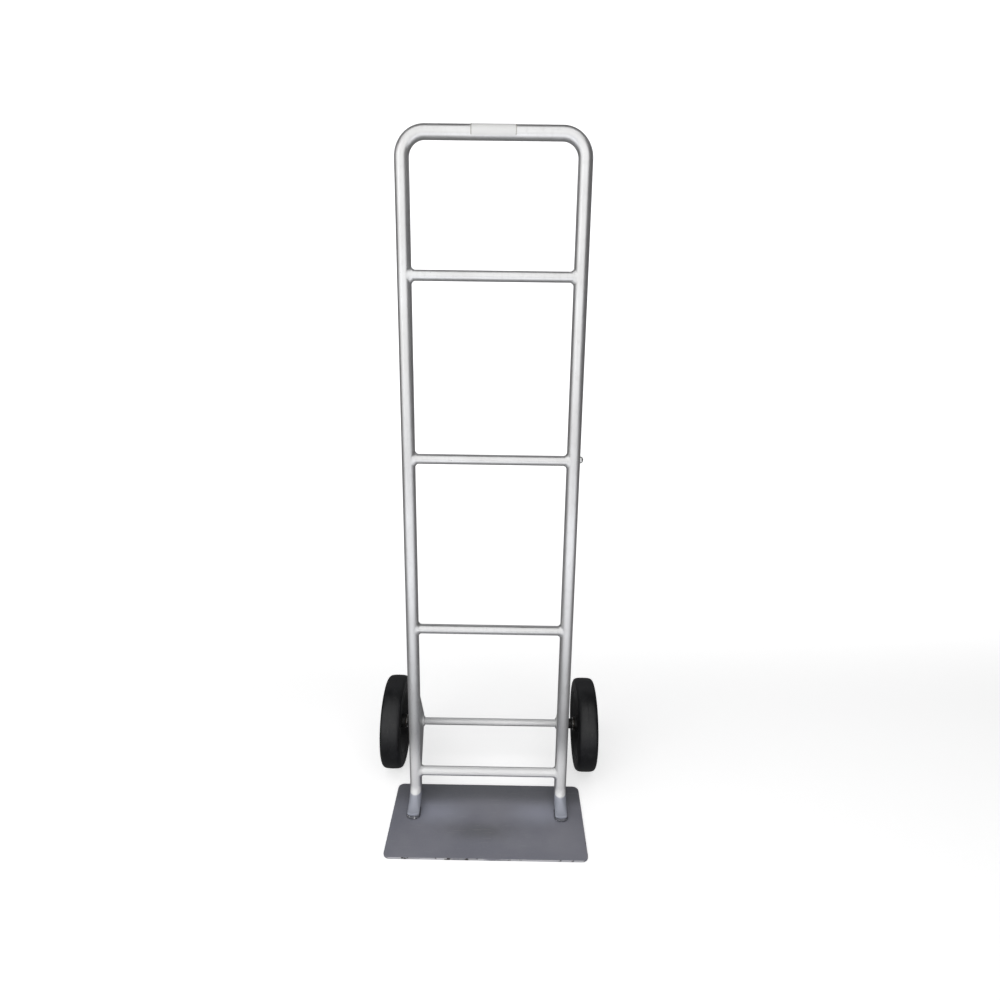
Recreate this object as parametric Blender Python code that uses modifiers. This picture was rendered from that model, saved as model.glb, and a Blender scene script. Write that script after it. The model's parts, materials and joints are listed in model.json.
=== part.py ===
"""Two-wheeled hand truck: a welded tube frame, a toe plate and two solid rubber wheels.

Metres, +Z up. The floor is Z = 0, the front of the truck faces -Y and X = 0 is its middle plane.
The origin is on the floor, below the middle of the whole truck. Run it in Blender 4.5.
"""
from math import acos, asin, atan2, cos, pi, radians, sin, tan

import bmesh
import bpy
from mathutils import Matrix, Vector

# Driving dimensions of the frame
HEIGHT = 1.324
STRINGER_X = 0.1535
STRINGER_Y = -0.0435
TUBE_R = 0.0127
TUBE_WALL = 0.002
BOW_BEND_R = 0.039
FOOT_BEND_R = 0.030
FOOT_REACH = 0.0535
RUNG_R = 0.0095
RUNG_WALL = 0.0015
RUNG_HEIGHTS = {"bottom": 0.0775, "lower": 0.4085, "middle": 0.7565, "top": 1.084}

# Toe plate
PLATE_WIDTH = 0.397
PLATE_FRONT_Y = -0.196
PLATE_REAR_Y = 0.004
PLATE_THICKNESS = 0.004
PLATE_CORNER_R = 0.013

# Axle, brackets and the pieces on the axle
WHEEL_R = 0.1016
AXLE_Y = 0.0914
AXLE_R = 0.0079375
AXLE_HALF_LENGTH = 0.2495
BRACKET_THICKNESS = 0.005
BRACKET_INNER_X = 0.1545
BRACKET_TOP_Z = 0.300
BRACKET_BOSS_R = 0.019
BRACKET_HEEL_Y = 0.050
SPACER_R = 0.011
WASHER_R = 0.014
WASHER_THICKNESS = 0.0014
COTTER_WIRE_R = 0.0016
COTTER_EYE_R = 0.0035
COTTER_TAIL = 0.0056
COTTER_EYE_TURN = radians(250)

# Wheels: distances along the axle are from the wheel's middle plane
WHEEL_X = 0.216
TYRE_HALF_WIDTH = 0.022
TREAD_CROWN = 0.0009
SHOULDER_R = 0.008
SIDEWALL = [(0.0864, 0.0218), (0.0852, 0.0206), (0.0772, 0.0202), (0.0760, 0.0214), (0.0718, 0.0210)]
BEAD_TIP_R = 0.0545
BEAD_TIP_HALF = 0.00205
BEAD_SLOPE = 1.1
BEAD_LIP_R = 0.0693
RIM_THICKNESS = 0.0016
RIM_EDGE_R = 0.0684
HUB_R = 0.0154
HUB_WALL = 0.0044
HUB_HALF_LENGTH = 0.022
BUSH_FLANGE = 0.0017
BUSH_LENGTH = 0.014
RUNNING_GAP = 0.00005
RIVET_CIRCLE_R = 0.038
RIVET_R = 0.003
RIVET_HEAD_R = 0.0054
RIVET_HEAD = 0.0024
RIVETS = 4
END_PLAY = 0.0005

# Welds
RUNG_WELD_LEG = 0.0038
WELD_LEG = 0.0045
WELD_CROWN = 1.25
BEAD_R = 0.0036
BEAD_SINK = 0.0011
LUMP_R = 0.0064
LUMP_HEIGHT = 0.0055

# Sticker on the bow
LABEL_HALF_WIDTH = 0.038
LABEL_THICKNESS = 0.00025
LABEL_LOW = radians(-30)
LABEL_HIGH = radians(85)

# Clearance between pieces that touch, and the fineness of round shapes
GAP = 0.0003
TUBE_SIDES = 20
RUNG_SIDES = 20
AXLE_SIDES = 24
WHEEL_SIDES = 32
CUTTER_SIDES = 24
DRILL_SIDES = 12
RIVET_SIDES = 8
WIRE_SIDES = 8
BEND_STEPS = 6
MERGE = 0.00001

SIDES = {"left": -1, "right": 1}
FOOT_Z = PLATE_THICKNESS + GAP + TUBE_R
PLUG_HEIGHT = TUBE_R / 3
FOOT_END_Y = STRINGER_Y - FOOT_REACH + PLUG_HEIGHT
BOW_Z = HEIGHT - TUBE_R
LYING_ALONG_X = (0, pi / 2, 0)
OUTLINE_IN_YZ = (pi / 2, 0, pi / 2)


def start_empty_scene():
    """Removes what the scene holds and makes the two collections."""
    for old in list(bpy.data.objects):
        bpy.data.objects.remove(old, do_unlink=True)
    groups = []
    for name in ("hand_truck", "cutters"):
        group = bpy.data.collections.new(name)
        bpy.context.scene.collection.children.link(group)
        groups.append(group)
    return groups


def make_material(name, colour, roughness, metallic):
    material = bpy.data.materials.new(name)
    material.use_nodes = True
    shader = material.node_tree.nodes["Principled BSDF"]
    shader.inputs["Base Color"].default_value = (*colour, 1)
    shader.inputs["Roughness"].default_value = roughness
    shader.inputs["Metallic"].default_value = metallic
    return material


PARTS, CUTTERS = start_empty_scene()
SILVER_PAINT = make_material("silver_paint", (0.62, 0.63, 0.64), 0.42, 0.55)
PLATE_PAINT = make_material("grey_plate_paint", (0.13, 0.13, 0.145), 0.5, 0.35)
BLACK_PAINT = make_material("black_paint", (0.02, 0.02, 0.021), 0.4, 0.2)
TYRE_RUBBER = make_material("tyre_rubber", (0.012, 0.012, 0.013), 0.55, 0)
ZINC = make_material("zinc_plated_steel", (0.55, 0.56, 0.57), 0.35, 1)
BRONZE = make_material("sintered_bronze", (0.42, 0.27, 0.13), 0.45, 1)
STICKER = make_material("sticker", (0.82, 0.82, 0.8), 0.5, 0)


def add_object(name, data, material=None, parent=None):
    """Adds a part, or a cutter where there is no material."""
    piece = bpy.data.objects.new(name, data)
    if material:
        PARTS.objects.link(piece)
        data.materials.append(material)
    else:
        CUTTERS.objects.link(piece)
        piece.hide_render = True
        piece.display_type = "WIRE"
    piece.parent = parent
    return piece


def add_axis(name, location, rotation):
    """An empty whose local Z is a wheel's axis, pointing away from the truck."""
    axis = bpy.data.objects.new(name, None)
    axis.location = location
    axis.rotation_euler = rotation
    PARTS.objects.link(axis)
    return axis


def fillet(before, corner, after, radius, steps=BEND_STEPS):
    """Points of the arc that rounds one corner of a path."""
    to_before = (before - corner).normalized()
    to_after = (after - corner).normalized()
    half_angle = to_before.angle(to_after) / 2
    centre = corner + (to_before + to_after).normalized() * radius / sin(half_angle)
    spoke = corner + to_before * radius / tan(half_angle) - centre
    turn = Matrix.Rotation((pi - 2 * half_angle) / steps, 3, to_after.cross(to_before))
    points = []
    for _ in range(steps + 1):
        points.append(centre + spoke)
        spoke = turn @ spoke
    return points


def rounded_path(corners, radii):
    """An open path: straight runs joined by arcs."""
    corners = [Vector(corner) for corner in corners]
    path = [corners[0]]
    for index, radius in enumerate(radii):
        path += fillet(*corners[index:index + 3], radius)
    return path + [corners[-1]]


def rounded_outline(corners, radii, steps=BEND_STEPS):
    """A closed flat outline whose every corner is rounded."""
    corners = [Vector((*corner, 0)) for corner in corners]
    outline = []
    for index, radius in enumerate(radii):
        after = corners[(index + 1) % len(corners)]
        outline += fillet(corners[index - 1], corners[index], after, radius, steps)
    return outline


def circle_points(radius, steps, centre=(0, 0)):
    points = []
    for step in range(steps):
        angle = 2 * pi * step / steps
        points.append((centre[0] + radius * cos(angle), centre[1] + radius * sin(angle)))
    return points


def add_spline(curve, points, closed):
    spline = curve.splines.new("POLY")
    spline.points.add(len(points) - 1)
    for place, point in zip(spline.points, points):
        place.co = (*Vector(point).to_3d(), 1)
    spline.use_cyclic_u = closed


def bent_wire(name, points, radius, sides, material, parent=None, capped=True):
    """A round bar or an open-ended skin along a path."""
    curve = bpy.data.curves.new(name, "CURVE")
    curve.dimensions = "3D"
    curve.bevel_depth = radius
    curve.bevel_resolution = (sides - 4) // 2
    curve.use_fill_caps = capped
    add_spline(curve, points, closed=False)
    return add_object(name, curve, material, parent)


def flat_shape(name, outlines, thickness, material, parent=None):
    """A flat outline, with further outlines as its holes, given a thickness about local Z = 0."""
    curve = bpy.data.curves.new(name, "CURVE")
    curve.dimensions = "2D"
    curve.fill_mode = "BOTH"
    curve.extrude = thickness / 2
    for outline in outlines:
        add_spline(curve, outline, closed=True)
    return add_object(name, curve, material, parent)


def turned(name, profile, steps, material=None, parent=None, ring=True):
    """Turns (radius, height) points about local Z: a closed ring section, or a solid from top to bottom."""
    points = [Vector((radius, 0, height)) for radius, height in profile]
    pairs = list(zip(points, points[1:] + points[:1]))
    area = sum(a.x * b.z - b.x * a.z for a, b in pairs)
    if ring and area > 0:
        points.reverse()
    edges = [(index, index + 1) for index in range(len(points) - 1)]
    if ring:
        edges.append((len(points) - 1, 0))
    mesh = bpy.data.meshes.new(name)
    mesh.from_pydata(points, edges, [])
    piece = add_object(name, mesh, material, parent)
    screw = piece.modifiers.new("turn", "SCREW")
    screw.steps = steps
    screw.render_steps = steps
    screw.use_merge_vertices = True
    screw.merge_threshold = MERGE
    return piece


def pipe_section(outer_r, inner_r, low, high):
    return [(outer_r, high), (outer_r, low), (inner_r, low), (inner_r, high)]


def cylinder_cutter(name, radius, low, high, parent=None, sides=CUTTER_SIDES):
    """A round cutter along local Z, turned a quarter of a facet so that its corners meet no seam."""
    mesh = bpy.data.meshes.new(name)
    shape = bmesh.new()
    place = Matrix.Translation((0, 0, (low + high) / 2)) @ Matrix.Rotation(pi / sides / 2, 4, "Z")
    bmesh.ops.create_cone(shape, cap_ends=True, segments=sides, radius1=radius, radius2=radius,
                          depth=high - low, matrix=place)
    shape.to_mesh(mesh)
    shape.free()
    return add_object(name, mesh, parent=parent)


def cut(piece, *cutters):
    for cutter in cutters:
        boolean = piece.modifiers.new(cutter.name, "BOOLEAN")
        boolean.operation = "DIFFERENCE"
        boolean.solver = "EXACT"
        boolean.object = cutter


def round_edges(piece, width, segments=2):
    """Rounds the sharp edges of a flat shape, whose caps are welded on first."""
    weld = piece.modifiers.new("weld", "WELD")
    weld.merge_threshold = MERGE
    bevel = piece.modifiers.new("round", "BEVEL")
    bevel.width = width
    bevel.segments = segments
    bevel.limit_method = "ANGLE"
    bevel.angle_limit = radians(50)


def as_mesh(piece):
    """Replaces a curve by its mesh, with its caps welded on, so that it can be cut."""
    bpy.context.view_layer.update()
    mesh = bpy.data.meshes.new_from_object(piece.evaluated_get(bpy.context.evaluated_depsgraph_get()))
    shape = bmesh.new()
    shape.from_mesh(mesh)
    bmesh.ops.remove_doubles(shape, verts=shape.verts, dist=MERGE)
    shape.to_mesh(mesh)
    shape.free()
    name, matrix, material = piece.name, piece.matrix_world.copy(), piece.data.materials[0]
    bpy.data.objects.remove(piece)
    mesh.materials.clear()
    solid = add_object(name, mesh, material)
    solid.matrix_world = matrix
    return solid


def make_stringer_cutters():
    """Round bars a little larger than the stringers, for coping whatever meets them."""
    cutters = {}
    for side, sign in SIDES.items():
        cutter = cylinder_cutter(f"stringer_cutter_{side}", TUBE_R + GAP, FOOT_Z, BOW_Z)
        cutter.location = (sign * STRINGER_X, STRINGER_Y, 0)
        cutters[side] = cutter
    return cutters


def make_frame_tube():
    """One tube bent into the bow, the stringers and the feet, open at both ends."""
    corners = [
        (-STRINGER_X, FOOT_END_Y, FOOT_Z),
        (-STRINGER_X, STRINGER_Y, FOOT_Z),
        (-STRINGER_X, STRINGER_Y, BOW_Z),
        (STRINGER_X, STRINGER_Y, BOW_Z),
        (STRINGER_X, STRINGER_Y, FOOT_Z),
        (STRINGER_X, FOOT_END_Y, FOOT_Z),
    ]
    path = rounded_path(corners, (FOOT_BEND_R, BOW_BEND_R, BOW_BEND_R, FOOT_BEND_R))
    tube = bent_wire("frame_tube", path, TUBE_R, TUBE_SIDES, SILVER_PAINT, capped=False)
    wall = tube.modifiers.new("wall", "SOLIDIFY")
    wall.thickness = TUBE_WALL
    wall.offset = -1
    wall.use_even_offset = True


def make_foot_plug(side, sign):
    """The domed end that closes a foot."""
    height = PLUG_HEIGHT - GAP
    steps = 3
    dome = []
    for step in range(steps + 1):
        angle = pi / 2 * (1 - step / steps)
        dome.append((TUBE_R * cos(angle), height * sin(angle)))
    dome.append((0, 0))
    plug = turned(f"foot_plug_{side}", dome, TUBE_SIDES, SILVER_PAINT, ring=False)
    plug.location = (sign * STRINGER_X, FOOT_END_Y - GAP, FOOT_Z)
    plug.rotation_euler = (pi / 2, 0, 0)


def make_rung(name, height, stringer_cutters):
    """A hollow rung, coped at both ends to fit the stringers."""
    section = pipe_section(RUNG_R, RUNG_R - RUNG_WALL, -STRINGER_X, STRINGER_X)
    rung = turned(f"rung_{name}", section, RUNG_SIDES, SILVER_PAINT)
    rung.location = (0, STRINGER_Y, height)
    rung.rotation_euler = LYING_ALONG_X
    cut(rung, *stringer_cutters.values())


def saddle_section(angle):
    """Root, toes and crown of a rung's weld: depth from the stringer's axis, Y and Z from the rung's."""
    rung_r = RUNG_R + GAP
    tube_r = TUBE_R + GAP
    wrap = asin(rung_r * sin(angle) / tube_r)
    toe_wrap = wrap + RUNG_WELD_LEG * sin(angle) / tube_r
    toe_z = (rung_r + RUNG_WELD_LEG) * cos(angle)
    root = Vector((tube_r * cos(wrap), rung_r * sin(angle), rung_r * cos(angle)))
    tube_toe = Vector((tube_r * cos(toe_wrap), tube_r * sin(toe_wrap), toe_z))
    rung_toe = root + Vector((RUNG_WELD_LEG, 0, 0))
    crown = root + ((tube_toe + rung_toe) / 2 - root) * WELD_CROWN
    return root, tube_toe, crown, rung_toe


def make_rung_weld(name, height, side, sign):
    """A fillet that runs round the saddle where a rung meets a stringer."""
    shape = bmesh.new()
    rings = []
    for step in range(TUBE_SIDES):
        ring = []
        for depth, across, up in saddle_section(2 * pi * step / TUBE_SIDES):
            ring.append(shape.verts.new((sign * (STRINGER_X - depth), across, up)))
        rings.append(ring)
    for ring, after in zip(rings, rings[1:] + rings[:1]):
        for index in range(len(ring)):
            following = (index + 1) % len(ring)
            shape.faces.new((ring[index], ring[following], after[following], after[index]))
    bmesh.ops.recalc_face_normals(shape, faces=shape.faces)
    mesh = bpy.data.meshes.new(f"weld_rung_{name}_{side}")
    shape.to_mesh(mesh)
    shape.free()
    weld = add_object(mesh.name, mesh, SILVER_PAINT)
    weld.location = (0, STRINGER_Y, height)


def make_toe_plate():
    half = PLATE_WIDTH / 2
    corners = [(-half, PLATE_FRONT_Y), (half, PLATE_FRONT_Y), (half, PLATE_REAR_Y), (-half, PLATE_REAR_Y)]
    outline = rounded_outline(corners, [PLATE_CORNER_R] * 4)
    plate = flat_shape("toe_plate", [outline], PLATE_THICKNESS, PLATE_PAINT)
    plate.location.z = PLATE_THICKNESS / 2
    round_edges(plate, PLATE_THICKNESS / 5)


def make_foot_weld(side, sign):
    """A bead on the plate along both sides of a foot and round its end."""
    spread = TUBE_R * 4 / 5
    rear_y = STRINGER_Y - FOOT_BEND_R + TUBE_R / 2
    front_y = FOOT_END_Y - PLUG_HEIGHT
    corners = [(-spread, rear_y, 0), (-spread, front_y, 0), (spread, front_y, 0), (spread, rear_y, 0)]
    path = rounded_path(corners, (spread / 2, spread / 2))
    curve = bent_wire(f"weld_foot_{side}", path, BEAD_R, WIRE_SIDES, SILVER_PAINT)
    curve.location = (sign * STRINGER_X, 0, PLATE_THICKNESS + BEAD_R - BEAD_SINK)
    weld = as_mesh(curve)
    bar = cylinder_cutter(f"foot_cutter_{side}", TUBE_R + GAP, -STRINGER_Y, GAP - front_y)
    bar.location = (sign * STRINGER_X, 0, FOOT_Z)
    bar.rotation_euler = (pi / 2, 0, 0)
    top = PLATE_THICKNESS + GAP
    floor = cylinder_cutter(f"plate_cutter_{side}", PLATE_WIDTH / 4, -PLATE_THICKNESS, top)
    floor.location = (sign * STRINGER_X, FOOT_END_Y, 0)
    cut(weld, bar, floor)


def tangent_angle(point, centre, sense):
    """Where, round the axle boss, the straight edge from a corner touches it."""
    reach = point - centre
    return atan2(reach.y, reach.x) + sense * acos(BRACKET_BOSS_R / reach.length)


def make_bracket(side, sign):
    """A flat gusset behind a stringer, with the axle's hole at its rear corner."""
    front_y = STRINGER_Y + TUBE_R + GAP
    low_z = PLATE_THICKNESS + GAP
    top = Vector((front_y, BRACKET_TOP_Z))
    heel = Vector((BRACKET_HEEL_Y, low_z))
    axle = Vector((AXLE_Y, WHEEL_R))
    outline = [(front_y, low_z), tuple(heel)]
    first = tangent_angle(heel, axle, 1)
    last = tangent_angle(top, axle, -1)
    steps = 2 * BEND_STEPS
    for step in range(steps + 1):
        angle = first + (last - first) * step / steps
        outline.append((axle.x + BRACKET_BOSS_R * cos(angle), axle.y + BRACKET_BOSS_R * sin(angle)))
    outline += [(front_y + 2 * BRACKET_THICKNESS, BRACKET_TOP_Z), tuple(top)]
    hole = circle_points(AXLE_R + GAP * 1.5, AXLE_SIDES, axle)
    bracket = flat_shape(f"axle_bracket_{side}", [outline, hole], BRACKET_THICKNESS, SILVER_PAINT)
    bracket.location.x = sign * (BRACKET_INNER_X + BRACKET_THICKNESS / 2)
    bracket.rotation_euler = OUTLINE_IN_YZ


def bead_section(inner, leg):
    """A rounded corner bead: out along the first axis from inner, and up along the second."""
    shoulder = leg * 3 / 5
    return [(inner, 0), (inner + leg, 0), (inner + shoulder, shoulder), (inner, leg)]


def fillet_section(face, tube_r, leg):
    """Section of a fillet between a round tube at 0, 0 and the flat face of a plate that stands on it."""
    start = asin(face / tube_r)
    toe = start - leg / tube_r
    plate_toe = Vector((face, tube_r * cos(start) + leg))
    arc = []
    for step in range(4):
        angle = start + (toe - start) * step / 3
        arc.append(Vector((tube_r * sin(angle), tube_r * cos(angle))))
    crown = arc[0] + ((plate_toe + arc[-1]) / 2 - arc[0]) * WELD_CROWN
    return [plate_toe] + arc + [crown]


def make_bracket_welds(side, sign):
    """The upright bead on the stringer and the level bead on the toe plate, on the bracket's inner face."""
    face = BRACKET_INNER_X - STRINGER_X - GAP
    section = [(sign * x, y) for x, y in fillet_section(face, TUBE_R + GAP, WELD_LEG)]
    low_z = FOOT_Z + FOOT_BEND_R
    high_z = BRACKET_TOP_Z - WELD_LEG
    upright = flat_shape(f"weld_bracket_tube_{side}", [section], high_z - low_z, SILVER_PAINT)
    upright.location = (sign * STRINGER_X, STRINGER_Y, (low_z + high_z) / 2)

    front_y = STRINGER_Y + TUBE_R + GAP
    rear_y = PLATE_REAR_Y - WELD_LEG
    section = [(-sign * x, z) for x, z in bead_section(0, WELD_LEG)]
    level = flat_shape(f"weld_bracket_plate_{side}", [section], rear_y - front_y, SILVER_PAINT)
    level.location = (sign * (BRACKET_INNER_X - GAP), (front_y + rear_y) / 2, PLATE_THICKNESS + GAP)
    level.rotation_euler = (pi / 2, 0, 0)


def make_axle():
    """A fixed round bar with a cross hole for a cotter pin near each end."""
    chamfer = AXLE_R / 6
    end = AXLE_HALF_LENGTH
    half = [(0, end), (AXLE_R - chamfer, end), (AXLE_R, end - chamfer)]
    profile = half + mirrored(reversed(half))
    axle = turned("axle", profile, AXLE_SIDES, SILVER_PAINT, ring=False)
    axle.location = (0, AXLE_Y, WHEEL_R)
    axle.rotation_euler = LYING_ALONG_X
    drills = []
    for side, sign in SIDES.items():
        name = f"cotter_drill_{side}"
        drill = cylinder_cutter(name, COTTER_WIRE_R + GAP, -2 * AXLE_R, 2 * AXLE_R, sides=DRILL_SIDES)
        drill.location = (sign * (WHEEL_X + cotter_height()), AXLE_Y, WHEEL_R)
        drills.append(drill)
    cut(axle, *drills)


def make_axle_weld(side, sign):
    """A ring of weld round the axle on the bracket's inner face."""
    section = bead_section(AXLE_R + GAP, WELD_LEG)
    weld = turned(f"weld_axle_{side}", section, AXLE_SIDES, SILVER_PAINT)
    weld.location = (sign * (BRACKET_INNER_X - GAP), AXLE_Y, WHEEL_R)
    weld.rotation_euler = (0, -sign * pi / 2, 0)


def make_weld_lump(stringer_cutter):
    """A round lump of weld on the outer side of the right stringer."""
    steps = 4
    dome = []
    for step in range(steps + 1):
        angle = pi / 2 * (1 - step / steps)
        dome.append((LUMP_R * cos(angle), TUBE_R + LUMP_HEIGHT * sin(angle)))
    dome += [(LUMP_R, TUBE_R / 2), (0, TUBE_R / 2)]
    lump = turned("weld_lump", dome, RIVET_SIDES, SILVER_PAINT, ring=False)
    lump.location = (STRINGER_X, STRINGER_Y, RUNG_HEIGHTS["middle"] + RUNG_R / 4)
    lump.rotation_euler = LYING_ALONG_X
    cut(lump, stringer_cutter)


def make_label():
    """A plain sticker that wraps the front and the top of the bow."""
    steps = 10
    outer = []
    inner = []
    for step in range(steps + 1):
        angle = LABEL_LOW + (LABEL_HIGH - LABEL_LOW) * step / steps
        direction = Vector((-cos(angle), sin(angle)))
        inner.append(direction * (TUBE_R + GAP))
        outer.append(direction * (TUBE_R + GAP + LABEL_THICKNESS))
    label = flat_shape("label", [outer + inner[::-1]], 2 * LABEL_HALF_WIDTH, STICKER)
    label.location = (0, STRINGER_Y, BOW_Z)
    label.rotation_euler = OUTLINE_IN_YZ


def hub_end():
    """Distance from the wheel's middle plane to the outer face of a bush's flange."""
    return HUB_HALF_LENGTH + GAP + BUSH_FLANGE


def cotter_height():
    """Distance from the wheel's middle plane to the cotter pin."""
    return hub_end() + END_PLAY + WASHER_THICKNESS + GAP + COTTER_WIRE_R


def make_axle_pieces(side, axis):
    """The spacer, the washers and the cotter pin, which stay still with the axle."""
    bore_r = AXLE_R + GAP * 1.5
    washer_low = hub_end() + END_PLAY
    washer_high = washer_low + WASHER_THICKNESS
    outer = pipe_section(WASHER_R, bore_r, washer_low, washer_high)
    inner = pipe_section(WASHER_R, bore_r, -washer_high, -washer_low)
    turned(f"washer_outer_{side}", outer, AXLE_SIDES, ZINC, axis)
    turned(f"washer_inner_{side}", inner, AXLE_SIDES, ZINC, axis)
    bracket_face = BRACKET_INNER_X + BRACKET_THICKNESS + GAP - WHEEL_X
    spacer = pipe_section(SPACER_R, bore_r, bracket_face, -washer_high - GAP)
    turned(f"axle_spacer_{side}", spacer, AXLE_SIDES, BLACK_PAINT, axis)
    make_cotter_pin(side, axis)


def make_cotter_pin(side, axis):
    """A pin through the axle with an eye above it and a bent tail below; local X points down or up."""
    up = -SIDES[side]
    level = cotter_height()
    shank_top = AXLE_R + COTTER_EYE_R + COTTER_WIRE_R + GAP
    tail_top = -AXLE_R - 2 * COTTER_WIRE_R
    tail_end = (up * (tail_top - COTTER_EYE_R), COTTER_TAIL, level)
    corners = [tail_end, (up * tail_top, 0, level), (up * shank_top, 0, level)]
    path = rounded_path(corners, [COTTER_EYE_R])
    steps = 10
    for step in range(1, steps + 1):
        angle = COTTER_EYE_TURN * step / steps
        height = shank_top + COTTER_EYE_R * sin(angle)
        path.append(Vector((up * height, COTTER_EYE_R * (1 - cos(angle)), level)))
    bent_wire(f"cotter_pin_{side}", path, COTTER_WIRE_R, WIRE_SIDES, ZINC, axis)


def tyre_section():
    """The tyre's closed section: crowned tread, round shoulders, stepped sides and a wedge for the rim."""
    shoulder_z = TYRE_HALF_WIDTH - SHOULDER_R
    shoulder_r = WHEEL_R - SHOULDER_R - TREAD_CROWN
    upper = [(WHEEL_R, 0), (WHEEL_R - TREAD_CROWN / 3, shoulder_z / 2)]
    steps = 3
    for step in range(steps + 1):
        angle = pi / 2 * step / steps
        upper.append((shoulder_r + SHOULDER_R * cos(angle), shoulder_z + SHOULDER_R * sin(angle)))
    upper += SIDEWALL
    upper += [(BEAD_LIP_R, wedge_height(BEAD_LIP_R)), (BEAD_TIP_R, BEAD_TIP_HALF)]
    return upper + mirrored(upper[:0:-1])


def wedge_height(radius):
    """Half the tyre's width at a radius on the wedge that the rim grips."""
    return BEAD_TIP_HALF + BEAD_SLOPE * (radius - BEAD_TIP_R)


def rim_section():
    """A pressed half rim above the wheel's middle plane: collar, flat disc and flared edge."""
    rise = GAP * (1 + BEAD_SLOPE ** 2) ** 0.5
    across = RIM_THICKNESS / (1 + BEAD_SLOPE ** 2) ** 0.5
    collar_r = HUB_R + GAP
    disc_low = GAP / 2
    disc_high = disc_low + RIM_THICKNESS
    edge = Vector((RIM_EDGE_R, wedge_height(RIM_EDGE_R) + rise))
    edge_outer = edge + Vector((-BEAD_SLOPE, 1)) * across
    bend_low = edge.x - (edge.y - disc_low) / BEAD_SLOPE
    bend_high = edge_outer.x - (edge_outer.y - disc_high) / BEAD_SLOPE
    return [
        (collar_r, disc_low),
        (bend_low, disc_low),
        tuple(edge),
        tuple(edge_outer),
        (bend_high, disc_high),
        (collar_r + 2 * RIM_THICKNESS, disc_high),
        (collar_r + RIM_THICKNESS, disc_high + RIM_THICKNESS),
        (collar_r + RIM_THICKNESS, disc_high + 3 * RIM_THICKNESS),
        (collar_r, disc_high + 3 * RIM_THICKNESS),
    ]


def bush_section():
    """A flanged bush above the wheel's middle plane; its bore clears the axle's corners all round."""
    bore_r = (AXLE_R + RUNNING_GAP) / cos(pi / AXLE_SIDES)
    body_r = HUB_R - HUB_WALL - GAP
    flange_low = HUB_HALF_LENGTH + GAP
    high = hub_end()
    low = high - BUSH_FLANGE - BUSH_LENGTH
    flange = [(WASHER_R, high), (WASHER_R, flange_low)]
    return flange + [(body_r, flange_low), (body_r, low), (bore_r, low), (bore_r, high)]


def mirrored(section):
    return [(radius, -height) for radius, height in section]


def rivet_profile():
    """A rivet with a domed head on each side of the two discs."""
    grip = RIM_THICKNESS + GAP / 2 + GAP
    upper = []
    for step in range(4):
        angle = pi / 2 * (1 - step / 3)
        upper.append((RIVET_HEAD_R * cos(angle), grip + RIVET_HEAD * sin(angle)))
    upper.append((RIVET_R, grip))
    return upper + mirrored(reversed(upper))


def make_wheel(side, axis):
    """A wheel on its own axis empty: tyre, two pressed rim halves, hub, two bushes and the rivets."""
    turned(f"tyre_{side}", tyre_section(), WHEEL_SIDES, TYRE_RUBBER, axis)
    hub = pipe_section(HUB_R, HUB_R - HUB_WALL, -HUB_HALF_LENGTH, HUB_HALF_LENGTH)
    turned(f"hub_{side}", hub, AXLE_SIDES, BLACK_PAINT, axis)
    turned(f"bush_outer_{side}", bush_section(), AXLE_SIDES, BRONZE, axis)
    turned(f"bush_inner_{side}", mirrored(bush_section()), AXLE_SIDES, BRONZE, axis)
    outer_rim = turned(f"rim_outer_{side}", rim_section(), WHEEL_SIDES, BLACK_PAINT, axis)
    inner_rim = turned(f"rim_inner_{side}", mirrored(rim_section()), WHEEL_SIDES, BLACK_PAINT, axis)
    for index in range(RIVETS):
        angle = 2 * pi * (index + 0.5) / RIVETS
        place = (RIVET_CIRCLE_R * cos(angle), RIVET_CIRCLE_R * sin(angle), 0)
        rivet = turned(f"rivet_{index + 1}_{side}", rivet_profile(), RIVET_SIDES, ZINC, axis, ring=False)
        rivet.location = place
        name = f"rivet_drill_{index + 1}_{side}"
        drill = cylinder_cutter(name, RIVET_R + GAP, -HUB_R, HUB_R, axis, DRILL_SIDES)
        drill.location = place
        cut(outer_rim, drill)
        cut(inner_rim, drill)


def build():
    stringer_cutters = make_stringer_cutters()
    make_frame_tube()
    make_toe_plate()
    make_axle()
    make_weld_lump(stringer_cutters["right"])
    make_label()
    for name, height in RUNG_HEIGHTS.items():
        make_rung(name, height, stringer_cutters)
        for side, sign in SIDES.items():
            make_rung_weld(name, height, side, sign)
    for side, sign in SIDES.items():
        make_foot_plug(side, sign)
        make_foot_weld(side, sign)
        make_bracket(side, sign)
        make_bracket_welds(side, sign)
        make_axle_weld(side, sign)
        place = (sign * WHEEL_X, AXLE_Y, WHEEL_R)
        outward = (0, sign * pi / 2, 0)
        make_axle_pieces(side, add_axis(f"axle_end_{side}", place, outward))
        make_wheel(side, add_axis(f"wheel_axis_{side}", place, outward))


build()
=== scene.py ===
"""Looks of a two-wheeled hand truck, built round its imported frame.

Metres, +Z up. The floor is Z = 0, the front of the truck faces -Y and X = 0 is its middle plane.
"""

import json
from math import acos, asin, atan2, cos, pi, radians, sin, sqrt, tan

import bmesh
import bpy
from mathutils import Matrix, Vector, noise

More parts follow.
